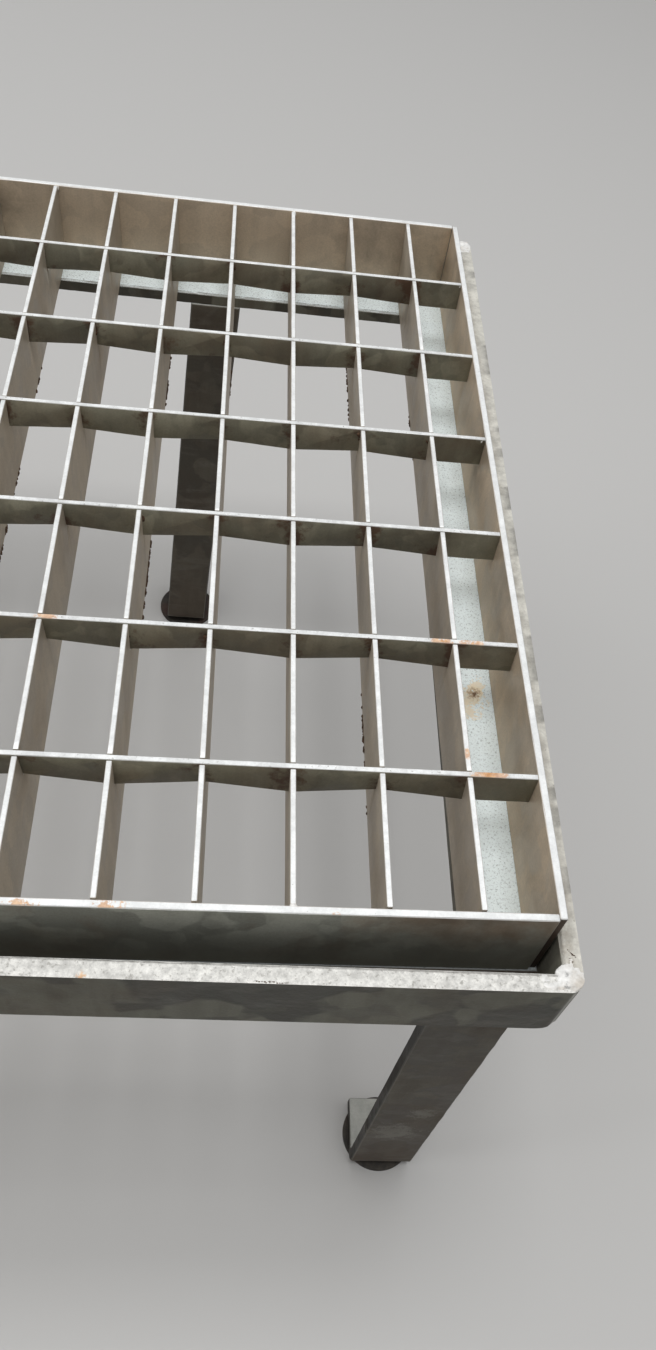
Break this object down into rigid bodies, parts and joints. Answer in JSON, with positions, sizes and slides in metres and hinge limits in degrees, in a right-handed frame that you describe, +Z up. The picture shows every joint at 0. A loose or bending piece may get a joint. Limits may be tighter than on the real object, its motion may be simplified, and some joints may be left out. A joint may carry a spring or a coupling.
{
  "type": "grating step",
  "caption": "Low free-standing step: a galvanised press-locked bar grating laid loose in an angle frame that stands on flat-bar legs with bent feet on round pads.",
  "frame": {"origin": "on the floor, under the middle of the frame", "axes": "+X to the right along the length, +Y away from the side seen in the picture, +Z up"},
  "size_m": [0.9976, 0.32, 0.238],
  "materials": {
    "frame_zinc": "hot-dip galvanised, dull, weathered, stained and lightly rusted",
    "edge_zinc": "hot-dip galvanised, bright along the top, dirty on the sides",
    "cross_bar_zinc": "hot-dip galvanised, bright along the top, dirt at the crossings",
    "bearing_bar_zinc": "hot-dip galvanised, bright along the top, brownish dirt on the sides",
    "leg_zinc": "hot-dip galvanised, dull and stained, paler on the foot",
    "pad_rubber": "black rubber, matt, dusty, with reddish brown stains",
    "weld_zinc": "galvanised weld bead"
  },
  "bodies": {
    "root": {"frame_front": "frame_zinc", "frame_back": "frame_zinc", "frame_left": "frame_zinc", "frame_right": "frame_zinc", "edge_front": "edge_zinc", "edge_back": "edge_zinc", "edge_left": "edge_zinc", "edge_right": "edge_zinc", "cross_bar_1": "cross_bar_zinc", "cross_bar_2": "cross_bar_zinc", "cross_bar_3": "cross_bar_zinc", "cross_bar_4": "cross_bar_zinc", "cross_bar_5": "cross_bar_zinc", "cross_bar_6": "cross_bar_zinc", "bearing_bars_1": "bearing_bar_zinc", "bearing_bars_2": "bearing_bar_zinc", "bearing_bars_3": "bearing_bar_zinc", "bearing_bars_4": "bearing_bar_zinc", "bearing_bars_5": "bearing_bar_zinc", "bearing_bars_6": "bearing_bar_zinc", "bearing_bars_7": "bearing_bar_zinc", "leg_front_left": "leg_zinc", "leg_front_right": "leg_zinc", "leg_back_left": "leg_zinc", "leg_back_right": "leg_zinc", "pad_front_left": "pad_rubber", "pad_front_right": "pad_rubber", "pad_back_left": "pad_rubber", "pad_back_right": "pad_rubber", "welds_front": "weld_zinc", "welds_back": "weld_zinc"}
  },
  "joints": []
}
